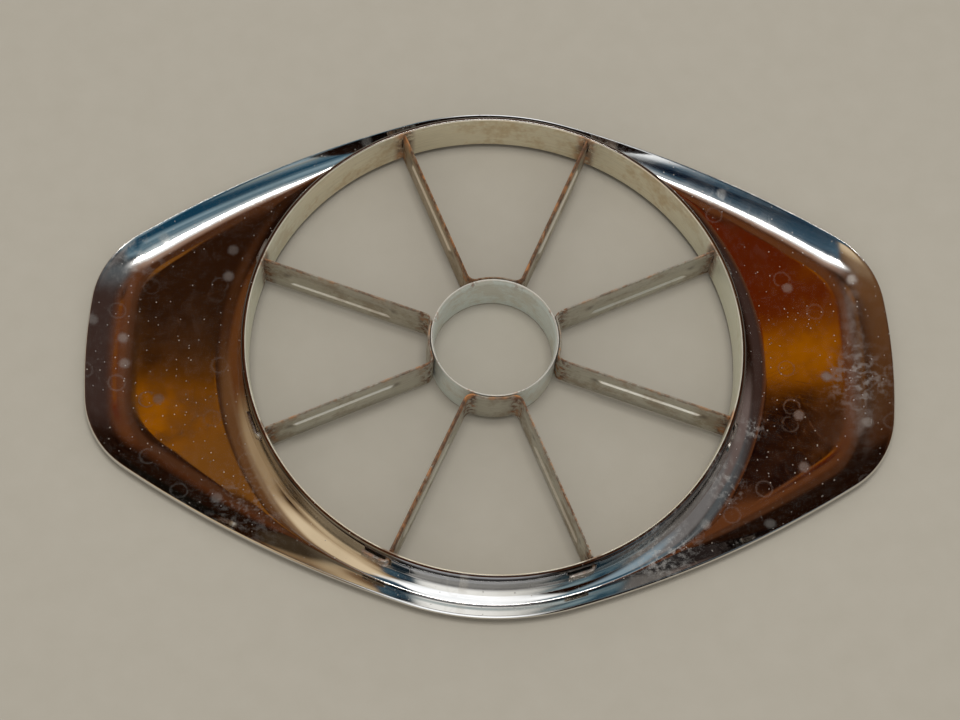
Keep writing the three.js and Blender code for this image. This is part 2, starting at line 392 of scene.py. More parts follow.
def make_frame():
    bm = bmesh.new()
    made = bmesh.ops.create_circle(bm, segments=frame_points, radius=collar_outside)
    bmesh.ops.translate(bm, verts=made["verts"], vec=(0, 0, top))
    edges = bm.edges[:]
    for height in (top - lip_ring, slot_top, slot_bottom, collar_foot):
        edges = draw_out(bm, edges, lambda old: Vector((old.x, old.y, height)))
    for ring in range(1, cove_rings + rim_rings + 2):

        def on_the_floor(old):
            bearing = bearing_of(old)
            point = polar(floor_radius(bearing, ring), bearing)
            point.z = floor_height(point)
            return point

        edges = draw_out(bm, edges, on_the_floor)
    cut_slots(bm, collar_outside)
    bmesh.ops.recalc_face_normals(bm, faces=bm.faces)
    bmesh.ops.solidify(bm, geom=bm.faces[:], thickness=-sheet)
    for vert in bm.verts:
        if vert.co.z > top - lip_ring / 2 and vert.co.xy.length > collar_outside - lip_turn:
            vert.co = polar(collar_outside - lip_turn, bearing_of(vert.co), top)
    bmesh.ops.recalc_face_normals(bm, faces=bm.faces)
    round_edges(bm, press_round)
    return finish_piece(bm, "chromed_frame", "frame_pressing")


chromed_frame = make_frame()

# %% [markdown]
# ## The cutting band
#
# A strip of plain steel, bent into a ring and pushed into the collar. It is made the same
# way as the collar, by drawing a circle out into a wall, and its slots lie in line with the
# collar's. Its upper edge is the round cutting edge of the tool, so it is ground thin from
# the inside: the inner points of the top ring move outwards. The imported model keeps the
# pieces a little apart so that they can be told apart. Here they fit tightly, as on the tool.

# %% Cutting band
fit = 0.03 * mm
band_reach = opening_radius - fit
band_wall = 0.5 * mm
ground_edge = 0.25 * mm
ground_depth = 1.2 * mm


def make_band():
    bm = bmesh.new()
    made = bmesh.ops.create_circle(bm, segments=frame_points, radius=band_reach)
    bmesh.ops.translate(bm, verts=made["verts"], vec=(0, 0, top))
    edges = bm.edges[:]
    for height in (top - ground_depth, slot_top, slot_bottom, band_bottom):
        edges = draw_out(bm, edges, lambda old: Vector((old.x, old.y, height)))
    cut_slots(bm, band_reach)
    bmesh.ops.recalc_face_normals(bm, faces=bm.faces)
    bmesh.ops.solidify(bm, geom=bm.faces[:], thickness=band_wall)
    for vert in bm.verts:
        if vert.co.z > top - lip_ring and vert.co.xy.length < band_reach - ground_edge:
            vert.co = polar(band_reach - ground_edge, bearing_of(vert.co), top)
    bmesh.ops.recalc_face_normals(bm, faces=bm.faces)
    round_edges(bm, ground_round)
    return finish_piece(bm, "steel_band", "cutting_band", crease=20)


steel_band = make_band()

# %% [markdown]
# ## The core ring
#
# A short tube whose wall is ground thin at the top from the inside, so that it bites into
# the apple. A closed profile spun round the Z axis makes it in one step.

# %% Core ring
core_points = 144


def make_core():
    inside = core_outside - core_wall
    profile = [
        (inside, core_bottom),
        (core_outside, core_bottom),
        (core_outside, top),
        (core_outside - ground_edge, top),
        (inside, top - ground_depth),
    ]
    bm = bmesh.new()
    verts = [bm.verts.new((radius, 0, height)) for radius, height in profile]
    edges = [bm.edges.new((verts[i - 1], vert)) for i, vert in enumerate(verts)]
    bmesh.ops.spin(
        bm,
        geom=verts + edges,
        axis=(0, 0, 1),
        angle=2 * math.pi,
        steps=core_points,
        use_merge=True,
    )
    bmesh.ops.recalc_face_normals(bm, faces=bm.faces)
    round_edges(bm, ground_round, limit=55)
    return finish_piece(bm, "core_tube", "core_ring", crease=15)


core_tube = make_core()

# %% [markdown]
# ## The blade strips
#
# The factory makes a strip flat and bends it last, and so does this cell. A section with a
# ground upper edge is drawn out along X. The rib is a flat-topped panel with steep flanks. It
# is stamped by pushing the middle of the section sideways, and the points of the section and
# the stations lie close together where the flanks rise. Then every point is carried round the
# bends: in from the band, round a tight corner, along the core ring and out again.

# %% Flat strip
core_hug = core_outside + fit + strip_sheet / 2
bend_radius = 1.7 * mm
blade_end = band_reach - band_wall - fit
rib_from = core_hug + 8.5 * mm
rib_to = blade_end - 5 * mm
rib_runout = 1.6 * mm
rib_drop = 0.4 * mm
rib_middle = (top + strip_bottom) / 2 - rib_drop
rib_half_height = 2.3 * mm
rib_flank = 0.5 * mm
rib_depth = 0.45 * mm
rib_steps = 6
hug_steps = 10
bend_steps = 8


def smooth_step(share):
    share = min(max(share, 0.0), 1.0)
    return share * share * (3 - 2 * share)


def section_points():
    """Points of the flat strip's section, as (sideways, height), up one side and down."""
    half = strip_sheet / 2
    flank = [rib_half_height - rib_flank * i / rib_steps for i in range(rib_steps + 1)]
    rib_heights = [rib_middle - step for step in flank]
    rib_heights += [rib_middle + step for step in reversed(flank)]
    heights = [strip_bottom] + rib_heights + [top - ground_depth]
    side = [(half, height) for height in heights] + [(ground_edge / 2, top)]
    return side + [(-sideways, height) for sideways, height in reversed(side)]


def draw_section(bm, points, stations):
    """Draws a closed section out along X, closes both ends and returns the points."""
    known = set(bm.verts)
    verts = [bm.verts.new((stations[0], y, z)) for y, z in points]
    edges = [bm.edges.new((verts[i - 1], vert)) for i, vert in enumerate(verts)]
    bmesh.ops.contextual_create(bm, geom=edges)
    for station in stations[1:]:
        edges = draw_out(bm, edges, lambda old: Vector((station, old.y, old.z)))
    bmesh.ops.contextual_create(bm, geom=edges)
    return [vert for vert in bm.verts if vert not in known]


def rib_push(radius, height):
    """How far the rib stands out at this distance from the middle and this height."""
    ends = min(rib_to - radius, radius - rib_from) / rib_runout
    level = (rib_half_height - abs(height - rib_middle)) / rib_flank
    return rib_depth * smooth_step(ends) * smooth_step(level)


# %% Bends of a strip
class StripLine:
    """Centre line of a strip, measured along it from the middle of the strip."""

    def __init__(self, half_span):
        reach = core_hug + bend_radius
        shift = math.asin(bend_radius / reach)
        self.half_span = half_span
        self.hug_end = half_span - shift
        self.bend_centre = polar(reach, self.hug_end)
        self.tangent = reach * math.cos(shift)
        self.hug_length = core_hug * self.hug_end
        self.bend_length = bend_radius * (quarter - shift)
        self.to_blade = self.hug_length + self.bend_length

    def stations(self):
        """Places along half the strip, closer together where it bends."""
        hug = [self.hug_length * i / hug_steps for i in range(hug_steps)]
        bend = [self.bend_length * i / bend_steps for i in range(bend_steps + 1)]
        bend = [self.hug_length + step for step in bend]
        runout = [rib_runout * i / rib_steps for i in range(rib_steps + 1)]
        radii = [rib_from + step for step in runout]
        radii += [rib_to - step for step in reversed(runout)] + [blade_end]
        return hug + bend + [self.to_blade + radius - self.tangent for radius in radii]

    def radius(self, along):
        return self.tangent + abs(along) - self.to_blade

    def spot(self, along):
        """Point of the line, and the direction that faces away from the strip's inside."""
        distance = abs(along)
        if distance > self.to_blade:
            point = polar(self.radius(along), self.half_span)
            away = polar(1, self.half_span + quarter)
        elif distance > self.hug_length:
            turned = (distance - self.hug_length) / bend_radius
            away = polar(1, self.hug_end + 2 * quarter - turned)
            point = self.bend_centre + away * bend_radius
        else:
            point = polar(core_hug, distance / core_hug)
            away = polar(-1, distance / core_hug)
        if along < 0:
            point.y = -point.y
            away.y = -away.y
        return point, away

    def bend(self, vert):
        along, sideways, height = vert.co
        point, away = self.spot(along)
        place = point + away * (sideways + rib_push(self.radius(along), height))
        vert.co = (place.x, place.y, height)


# %% [markdown]
# ## Tabs
#
# The tab leaves the end of the blade, passes through both slots and is hammered over
# clockwise along the outside of the collar. It is drawn out flat and bent like the strip.
# It starts a millimetre inside the blade, so that the two look like one piece of steel.

# %% Tabs
tab_bend = 0.8 * mm
tab_fold = 4.6 * mm
tab_root = 1 * mm
tab_inset = 0.05 * mm
tab_fold_steps = 4
fold_radius = collar_outside + seat + strip_sheet / 2
fold_start = math.asin(tab_bend / (fold_radius - tab_bend))
fold_centre = polar(fold_radius - tab_bend, -fold_start)
tab_straight = fold_centre.x - blade_end + tab_root
tab_turn = tab_bend * (quarter + fold_start)


def bend_tab(vert):
    along, sideways, height = vert.co
    point = Vector((blade_end - tab_root + along, 0, 0))
    away = polar(1, quarter)
    if along > tab_straight:
        turned = min((along - tab_straight) / tab_bend, quarter + fold_start)
        away = polar(1, quarter - turned)
        point = fold_centre + away * tab_bend
    if along > tab_straight + tab_turn:
        bearing = -fold_start - (along - tab_straight - tab_turn) / fold_radius
        away = polar(1, bearing)
        point = away * fold_radius
    place = point + away * sideways
    vert.co = (place.x, place.y, height)


def add_tab(bm, bearing):
    half = strip_sheet / 2 - tab_inset
    corners = [(half, tab_bottom), (half, tab_top), (-half, tab_top), (-half, tab_bottom)]
    turned = [tab_turn * i / bend_steps for i in range(bend_steps + 1)]
    folded = [tab_turn + tab_fold * (i + 1) / tab_fold_steps for i in range(tab_fold_steps)]
    stations = [0.0] + [tab_straight + step for step in turned + folded]
    verts = draw_section(bm, corners, stations)
    for vert in verts:
        bend_tab(vert)
    bmesh.ops.rotate(bm, verts=verts, matrix=Matrix.Rotation(bearing, 3, "Z"))


# %% Strips
same_height = 1e-6


def make_strip(side):
    turn, span = strips[side]
    line = StripLine(span / 2)
    half = line.stations()
    bm = bmesh.new()
    verts = draw_section(bm, section_points(), [-x for x in reversed(half[1:])] + half)
    for vert in verts:
        line.bend(vert)
    add_tab(bm, span / 2)
    add_tab(bm, -span / 2)
    bmesh.ops.rotate(bm, verts=bm.verts, matrix=Matrix.Rotation(turn, 3, "Z"))
    bmesh.ops.recalc_face_normals(bm, faces=bm.faces)
    for edge in bm.edges:
        if all(abs(vert.co.z - top + ground_depth) < same_height for vert in edge.verts):
            edge.smooth = False
    round_edges(bm, strip_round)
    return finish_piece(bm, f"blades_{side}", f"blade_strip_{side}")


blade_strips = [make_strip(side) for side in strips]

# %% [markdown]
# ## Shader maths
#
# A finish is mostly sums of masks: where it is rusty, where it is scratched, how dirty it
# is. Written as nodes one by one that is hard to read. The class `Wire` wraps a node's
# output, so that `1 - mask` or `rust * 0.5` adds the Math nodes by itself. `Recipe` adds
# every other kind of node.


# %% Shader maths
class Wire:
    """An output of a shader node that works in sums like a number."""

    def __init__(self, recipe, socket):
        self.recipe = recipe
        self.socket = socket

    def math(self, operation, *others):
        return self.recipe.math(operation, self, *others)

    def __add__(self, other):
        return self.math("ADD", other)

    def __sub__(self, other):
        return self.math("SUBTRACT", other)

    def __rsub__(self, other):
        return self.recipe.math("SUBTRACT", other, self)

    def __mul__(self, other):
        return self.math("MULTIPLY", other)

    def __abs__(self):
        return self.math("ABSOLUTE")

    __radd__ = __add__
    __rmul__ = __mul__

    def capped(self):
        return self.math("MINIMUM", 1.0)

    def rise(self, low, high):
        """0 below low, 1 above high, and smooth between them."""
        settings = {"interpolation_type": "SMOOTHSTEP"}
        values = {"Value": self, "From Min": low, "From Max": high}
        return self.recipe.node("ShaderNodeMapRange", settings, values)

    def near(self, value, width):
        """1 at value, falling to 0 at width on both sides."""
        return 1 - abs(self - value).rise(0.0, width)


class Recipe:
    """The shader nodes of one material or of the world."""

    def __init__(self, tree):
        self.tree = tree

    def fill(self, node, values):
        """Links each wire to the node's input of that name and sets a plain value on it."""
        for name, value in values.items():
            if isinstance(value, Wire):
                self.tree.links.new(value.socket, node.inputs[name])
            else:
                node.inputs[name].default_value = value

    def node(self, kind, settings, values, output=0):
        made = self.tree.nodes.new(kind)
        for name, value in settings.items():
            setattr(made, name, value)
        self.fill(made, values)
        return Wire(self, made.outputs[output])

    def math(self, operation, *terms):
        settings = {"operation": operation}
        return self.node("ShaderNodeMath", settings, dict(enumerate(terms)))

    def colors(self, operation, *terms):
        """One sum on each of a colour's three amounts of light."""
        settings = {"operation": operation}
        return self.node("ShaderNodeVectorMath", settings, dict(enumerate(terms)))

    def parts(self, vector):
        first = self.node("ShaderNodeSeparateXYZ", {}, {0: vector})
        return [Wire(self, socket) for socket in first.socket.node.outputs]

    def mix(self, share, first, second):
        settings = {"data_type": "RGBA"}
        values = {0: share, 6: first, 7: second}
        return self.node("ShaderNodeMix", settings, values, output=2)

    def noise(self, place, size, detail=3.0, roughness=0.55):
        values = {"Vector": place, "Scale": 1 / size, "Detail": detail, "Roughness": roughness}
        return self.node("ShaderNodeTexNoise", {}, values)

    def stretched(self, place, turn, stretch):
        """The place turned about Z, so that a pattern on it is drawn out in one direction."""
        values = {"Vector": place, "Rotation": (0, 0, turn), "Scale": (stretch, 1, 1)}
        return self.node("ShaderNodeMapping", {"vector_type": "TEXTURE"}, values)

    def spots(self, place, size):
        """Distance to points scattered in the plan, in spacings, and a random number for each."""
        settings = {"voronoi_dimensions": "2D"}
        values = {"Vector": place, "Scale": 1 / size}
        distance = self.node("ShaderNodeTexVoronoi", settings, values)
        number = Wire(self, distance.socket.node.outputs["Color"])
        return distance, self.parts(number)[0]


# %% Material with one shader
class Finish(Recipe):
    """A material whose surface is one Principled shader. Its patterns lie on the real object."""

    def __init__(self, name):
        self.material = bpy.data.materials.new(name)
        self.material.use_nodes = True
        super().__init__(self.material.node_tree)
        self.place = self.node("ShaderNodeTexCoord", {}, {}, output="Object")
        self.x, self.y, self.z = self.parts(self.place)
        self.radius = (self.x * self.x + self.y * self.y).math("SQRT")
        self.bearing = self.y.math("ARCTAN2", self.x)

    def upward(self):
        """1 where the surface faces straight up, 0 on an upright wall, -1 underneath."""
        normal = self.node("ShaderNodeNewGeometry", {}, {}, output="Normal")
        return self.parts(normal)[2]

    def around(self, x, y, reach):
        """1 at a place in the plan, falling to 0 at the distance reach from it."""
        across = self.x - x
        along = self.y - y
        return 1 - (across * across + along * along).math("SQRT").rise(0.0, reach)

    def surface(self, color, roughness, metallic, relief, depth):
        bump = {"Height": relief, "Distance": depth, "Strength": 1.0}
        values = {
            "Base Color": color,
            "Roughness": roughness,
            "Metallic": metallic,
            "Normal": self.node("ShaderNodeBump", {}, bump),
        }
        self.fill(self.tree.nodes["Principled BSDF"], values)
        return self.material


def hue(red, green, blue):
    """A colour as it looks on a screen, from 0 to 255, turned into the amounts of light."""
    amounts = []
    for value in (red, green, blue):
        share = value / 255
        amounts.append(share / 12.92 if share < 0.04 else ((share + 0.055) / 1.055) ** 2.4)
    return amounts + [1]


print("linear amounts of a mid grey:", [round(v, 3) for v in hue(128, 128, 128)])

# %% [markdown]
# ## Chrome
#
# The chrome is a mirror, but an old one. Dried water has left rings, pale spots and a veil in
# a few places, a cloth has left fine scratches in all directions, dust lies in the pans and
# hands have rubbed the wings' ends. The collar's wall is painted nearly black, a painted shade
# that keeps the bright reflections on it dim. Each of these is a mask. Haze, scratches and
# rubbing only widen the reflection, so they go to the roughness, while a speck of dust isn't
# metal at all. A pressed sheet is never quite flat either, so a slow wave in the relief bends
# the reflections.

# %% Chrome
drop_spacing = 7 * mm
speck_spacing = 2.6 * mm
pit_spacing = 2.1 * mm
smear_middle = 76.5 * mm
thinnest_veil = 0.03
veil_places = (
    (33 * mm, -42 * mm, 11 * mm, 1.1),
    (46.5 * mm, -27 * mm, 7 * mm, 0.9),
    (53.5 * mm, -15.5 * mm, 4 * mm, 0.8),
    (77 * mm, -4 * mm, 10 * mm, 0.5),
    (-78 * mm, 25 * mm, 12 * mm, 0.5),
    (-50 * mm, -34 * mm, 12 * mm, 0.25),
)


def scratches(finish, count=4):
    """Thin lines in several directions, each a level line of a stretched noise."""
    lines = 0.0
    for i in range(count):
        turned = finish.stretched(finish.place, 0.5 + 2.4 * i, 16)
        wander = finish.noise(turned, 1.8 * mm, detail=1.0)
        here = finish.noise(finish.place, (17 + 3 * i) * mm, detail=1.0).rise(0.52, 0.66)
        lines = wander.near(0.5, 0.006) * here + lines
    return lines.capped()


def water_marks(finish):
    """Rings and pale spots where drops have dried, and a smear at the right wing's end."""
    distance, number = finish.spots(finish.place, drop_spacing)
    rings = distance.near(0.24, 0.05) * number.rise(0.66, 0.9)
    drops = (1 - distance.rise(0.08, 0.22)) * (1 - number.rise(0.14, 0.22))
    smear = finish.x.near(smear_middle, 3 * mm) * (1 - abs(finish.y).rise(12 * mm, 26 * mm))
    smear = smear * finish.noise(finish.place, 3 * mm, detail=4.0).rise(0.3, 0.7)
    return (rings * 0.3 + drops * 0.8 + smear * 0.6).capped()


def veil_of(finish):
    """Fine mottles of dried water, thick in a few places and hardly there elsewhere."""
    amount = thinnest_veil
    for x, y, reach, share in veil_places:
        amount = finish.around(x, y, reach) * share + amount
    mottle = finish.noise(finish.place, 1.5 * mm, detail=5.0, roughness=0.7)
    return (mottle.rise(0.46, 0.64) * amount).capped()


def dots(finish, spacing, size, first, full):
    """Dots on scattered points, but only where the point's number is past first."""
    distance, number = finish.spots(finish.place, spacing)
    return (1 - distance.rise(0.02, size)) * number.rise(first, full)


def make_chrome():
    finish = Finish("old_chrome")
    haze = finish.noise(finish.place, 26 * mm, detail=5.0).rise(0.42, 0.72)
    film = finish.noise(finish.place, 5 * mm, detail=4.0).rise(0.4, 0.75)
    lines = scratches(finish)
    water = water_marks(finish)
    specks = dots(finish, speck_spacing, 0.065, 0.45, 1.0)
    specks = specks * finish.noise(finish.place, 7 * mm, detail=2.0).rise(0.42, 0.6)
    pits = dots(finish, pit_spacing, 0.07, 0.8, 0.84)
    veil = veil_of(finish)
    rubbed = abs(finish.x).rise(71 * mm, 78 * mm) * (1 - abs(finish.y).rise(14 * mm, 24 * mm))
    above_cove = finish.z.rise(collar_foot - 2.2 * mm, collar_foot - 0.8 * mm)
    # The collar's upright wall is painted nearly black, a painted shade that keeps the bright
    # reflections on it dim.
    painted_collar_shade = finish.radius.near(collar_outside, 1.0 * mm) * above_cove

    color = finish.mix(haze * 0.7, hue(231, 228, 222), hue(208, 204, 196))
    color = finish.mix(painted_collar_shade * 0.9, color, hue(66, 64, 66))
    color = finish.mix(water * 0.3, color, hue(190, 182, 168))
    color = finish.mix(veil * 0.6, color, hue(204, 201, 196))
    color = finish.mix(specks * 0.7, color, hue(196, 178, 152))
    color = finish.mix(pits * 0.6, color, hue(74, 52, 34))
    roughness = haze * 0.06 + film * 0.03 + lines * 0.06 + water * 0.09 + 0.05
    roughness = roughness + specks * 0.4 + pits * 0.4 + veil * 0.12 + rubbed * 0.06
    metallic = 1 - (specks * 0.5 + pits * 0.5 + veil * 0.3 + water * 0.1).capped()
    wave = finish.noise(finish.place, 22 * mm, detail=1.0)
    relief = wave - lines * 0.02 - pits * 0.1
    return finish.surface(color, roughness.capped(), metallic, relief, 0.016 * mm)


chrome = make_chrome()
print("nodes of the chrome:", len(chrome.node_tree.nodes))

# %% [markdown]
# ## Bare steel
#
# Band, core ring and blades are plain steel that was never polished. Apple juice has left
# tan and brown stains, and damp sits longest where the tool was ground thin and where two
# pieces touch. Those are the places that rust first: the cutting edges, the blades' ends,
# the bends at the core and the folded tabs. Some blades are far rustier than others, so each
# rusty blade has its own share. The band's left and right sides are painted lighter and
# bluer, a painted light from a window, and its up-facing ground bevel is painted darker, a
# painted shade. The up-facing flank of each blade's rib is painted nearly white, a painted
# highlight.


# %% Steel
def stains(finish, size):
    """Cloudy stains with ragged edges."""
    cloud = finish.noise(finish.place, size, detail=6.0, roughness=0.62)
    grain = finish.noise(finish.place, size / 9, detail=3.0)
    return (cloud + grain * 0.25).rise(0.58, 0.78)


def brushing(finish):
    """Fine lines that run round the tool, level with its edge."""
    flat = finish.node("ShaderNodeMapping", {}, {"Vector": finish.place, "Scale": (1, 1, 28)})
    return finish.noise(flat, 5 * mm, detail=4.0)


def rust_color(finish):
    grain = finish.noise(finish.place, 0.7 * mm, detail=4.0)
    patch = finish.noise(finish.place, 3.5 * mm, detail=2.0)
    dark = finish.mix(grain.rise(0.35, 0.65), hue(82, 52, 32), hue(136, 90, 54))
    return finish.mix(patch.rise(0.5, 0.64), dark, hue(178, 118, 66))


def beside_blades(finish, near, far):
    """1 within the angle near of a blade's end, 0 beyond the angle far."""
    beside = 0.0
    for bearing in blade_bearings:
        turned = math.remainder(bearing, 4 * quarter)
        beside = 1 - abs(finish.bearing - turned).rise(near, far) + beside
    return beside


def crumbs_of(finish, size, low, high):
    """Rust starts in crumbs, not as an even coat."""
    return finish.noise(finish.place, size, detail=5.0, roughness=0.65).rise(low, high)


def make_band_steel():
    finish = Finish("stained_band_steel")
    stain = stains(finish, 11 * mm)
    lines = brushing(finish)
    worn = finish.z.rise(top - 0.15 * mm, top - 0.03 * mm)
    # Where the ground bevel faces up it is painted darker, a painted shade.
    ground = finish.upward().rise(0.1, 0.4) * (1 - worn)
    # The band's left and right sides are painted lighter and bluer: painted window light.
    painted_side_light = abs(finish.x).rise(36 * mm, 50 * mm)
    crumbs = crumbs_of(finish, 1.6 * mm, 0.32, 0.5)
    rust = (beside_blades(finish, 0.02, 0.055) * crumbs).capped()
    color = finish.mix(stain * 0.75, hue(230, 222, 196), hue(202, 177, 132))
    color = finish.mix(lines.rise(0.4, 0.7) * 0.3, color, hue(181, 173, 150))
    color = finish.mix(painted_side_light * 0.6, color, hue(234, 240, 224))
    color = finish.mix(ground * 0.7, color, hue(138, 126, 100))
    color = finish.mix(worn * 0.4, color, hue(243, 234, 217))
    color = finish.mix(rust * 0.8, color, rust_color(finish))
    roughness = (0.3 + stain * 0.18 + lines * 0.12 - worn * 0.05 + rust * 0.4).capped()
    metallic = 0.62 - stain * 0.15 - rust * 0.4
    relief = lines * 0.3 + rust * crumbs
    return finish.surface(color, roughness, metallic, relief, 0.05 * mm)


def make_core_steel():
    finish = Finish("dull_core_steel")
    stain = stains(finish, 8 * mm)
    lines = brushing(finish)
    worn = finish.z.rise(top - 0.4 * mm, top - 0.15 * mm)
    crumbs = crumbs_of(finish, 1.4 * mm, 0.48, 0.64)
    high_up = finish.z.rise(top - 3.0 * mm, top)
    rust = (beside_blades(finish, 0.02, 0.14) * crumbs * high_up).capped()
    color = finish.mix(stain * 0.5, hue(221, 229, 225), hue(199, 186, 162))
    color = finish.mix(lines.rise(0.4, 0.7) * 0.3, color, hue(181, 178, 162))
    color = finish.mix(worn * 0.6, color, hue(233, 226, 214))
    color = finish.mix(rust * 0.8, color, rust_color(finish))
    roughness = (0.34 + stain * 0.2 + lines * 0.1 + rust * 0.4).capped()
    metallic = 0.6 - stain * 0.15 - rust * 0.4
    return finish.surface(color, roughness, metallic, lines * 0.3 + rust * crumbs, 0.05 * mm)


# %% Blade steel
damp_everywhere = 0.12
rusty_blades = {66.0: 1.3, -114.0: 1.5, -68.0: 0.2, 112.0: 0.6}
brown_bearing = math.radians(112)


def damp_of(finish):
    """How much a blade rusts: each rusty blade is known by its bearing in degrees."""
    damp = damp_everywhere
    for bearing, share in rusty_blades.items():
        damp = finish.bearing.near(math.radians(bearing), 0.16) * share + damp
    return damp


def blade_rust(finish, crumbs, folded):
    """Rust on the ground edges, the cutting lines and both ends of the blades."""
    damp = damp_of(finish)
    patches = finish.noise(finish.place, 9 * mm, detail=2.0).rise(0.35, 0.6)
    ground = finish.z.rise(top - 2.6 * mm, top - 0.9 * mm)
    edge = ground * damp * (patches * 0.4 + crumbs * 0.6 + 0.3)
    cutting_line = finish.z.rise(top - 0.8 * mm, top - 0.4 * mm)
    cutting_line = cutting_line * (patches * 0.35 + crumbs * 0.35)
    outer_end = finish.radius.rise(47.4 * mm, 49.6 * mm) * (crumbs * 0.8 + 0.2)
    inner_end = (1 - finish.radius.rise(15 * mm, 17.5 * mm)) * crumbs
    inner_end = inner_end * beside_blades(finish, 0.08, 0.2)
    bare_tab = 1 - folded * (1 - damp.math("MINIMUM", 0.6))
    return ((edge + cutting_line + outer_end + inner_end) * bare_tab).capped()


def make_blade_steel():
    finish = Finish("rusty_blade_steel")
    stain = stains(finish, 7 * mm)
    lines = brushing(finish)
    crumbs = crumbs_of(finish, 1.3 * mm, 0.4, 0.6)
    folded = finish.radius.rise(collar_outside + 0.1 * mm, collar_outside + 0.4 * mm)
    rust = blade_rust(finish, crumbs, folded)
    beyond_rib = abs(finish.z - rib_middle).rise(rib_half_height, rib_half_height + 0.1 * mm)
    # The rib's up-facing flank is painted nearly white, less rough and less metallic: a painted
    # highlight.
    painted_rib_highlight = finish.upward().rise(0.2, 0.6) * (1 - beyond_rib)
    rib_ends = finish.radius.near(rib_from, 1.4 * mm) + finish.radius.near(rib_to, 1.4 * mm)
    # Darker at both ends of the rib, a little above its middle.
    rib_end_darkening = rib_ends * finish.z.near(rib_middle + 1.5 * mm, 1.5 * mm)
    far_brown = finish.bearing.near(brown_bearing, 1.2) * 0.75
    color = finish.mix(far_brown, hue(189, 186, 172), hue(165, 143, 110))
    color = finish.mix(stain * 0.65, color, hue(143, 125, 100))
    color = finish.mix(lines.rise(0.42, 0.7) * 0.35, color, hue(143, 134, 114))
    color = finish.mix(painted_rib_highlight * 0.3, color, hue(252, 246, 230))
    color = finish.mix(rib_end_darkening * 0.6, color, hue(77, 63, 47))
    color = finish.mix(folded, color, hue(165, 160, 151))
    color = finish.mix(rust * 0.9, color, rust_color(finish))
    roughness = 0.34 + stain * 0.16 + lines * 0.1 - painted_rib_highlight * 0.08 - folded * 0.2 + rust * 0.45
    metallic = 0.7 - stain * 0.15 - rust * 0.45 - painted_rib_highlight * 0.3 + folded * 0.3
    metallic = metallic.math("MAXIMUM", 0.0)
    relief = lines * 0.25 + rust * crumbs
    return finish.surface(color, roughness.capped(), metallic, relief, 0.06 * mm)


chromed_frame.data.materials.append(chrome)
steel_band.data.materials.append(make_band_steel())
core_tube.data.materials.append(make_core_steel())
blade_material = make_blade_steel()
for strip in blade_strips:
    strip.data.materials.append(blade_material)
print("materials:", sorted(material.name for material in bpy.data.materials))

# %% [markdown]
# ## Floor
#
# The tool lies on a plain pale floor. The floor is a hair below the pans, so that the two
# surfaces never share a plane.

# %% Floor
floor_half = 3.0
floor_gap = 0.05 * mm


def make_floor():
    bm = bmesh.new()
    bmesh.ops.create_grid(bm, x_segments=1, y_segments=1, size=floor_half)
    bmesh.ops.translate(bm, verts=bm.verts, vec=(0, 0, -floor_gap))
    mesh = bpy.data.meshes.new("floor")
    bm.to_mesh(mesh)
    bm.free()
    floor = bpy.data.objects.new("floor", mesh)
    bpy.context.scene.collection.objects.link(floor)
    finish = Finish("pale_floor")
    grain = finish.noise(finish.place, 6 * mm, detail=3.0)
    color = finish.mix(grain, hue(163, 157, 144), hue(169, 163, 151))
    mesh.materials.append(finish.surface(color, grain * 0.1 + 0.85, 0.0, grain, 0.05 * mm))
    return floor


print("floor, m:", [round(v, 2) for v in make_floor().dimensions])

# %% [markdown]
# ## Light and the room in the chrome
#
# A mirror shows the room, so most of what one sees on the chrome isn't the chrome at all.
# One soft lamp hangs overhead, a small strip gives the bright lines, and soft light from all
# round fills the shadows. The world's colour for glossy rays is a dim brown room with a
# window behind the camera and a few warm patches, which are what the photographed chrome
# reflects. A patch is an oval in the plan of the directions: its middle and its reach are the
# x and y of a direction of length 1. Later patches lie over the earlier ones.
#
# The Standard view shows a colour as it is, and all light past 1 as plain white. A window is
# many times brighter than a room, so the chrome's room is bent by a curve. It leaves dim light
# nearly as it is and brings bright light down, as a camera does.

# %% Lamps
bpy.context.scene.view_settings.view_transform = "Standard"
lamps = {
    "soft_lamp": ((0, 0.05, 1.3), 0.5, 0.5, 7.8, False),
    "strip_lamp": ((0.06, 0.12, 1.2), 0.42, 0.07, 1.0, True),
}


def add_lamp(name, place, width, length, power, seen_in_metal):
    data = bpy.data.lights.new(name, "AREA")
    data.shape = "RECTANGLE"
    data.size = width
    data.size_y = length
    data.energy = power
    lamp = bpy.data.objects.new(name, data)
    lamp.location = place
    lamp.visible_camera = False
    lamp.visible_glossy = seen_in_metal
    bpy.context.scene.collection.objects.link(lamp)


for name, values in lamps.items():
    add_lamp(name, *values)
print("lamps:", [item.name for item in bpy.data.lights])

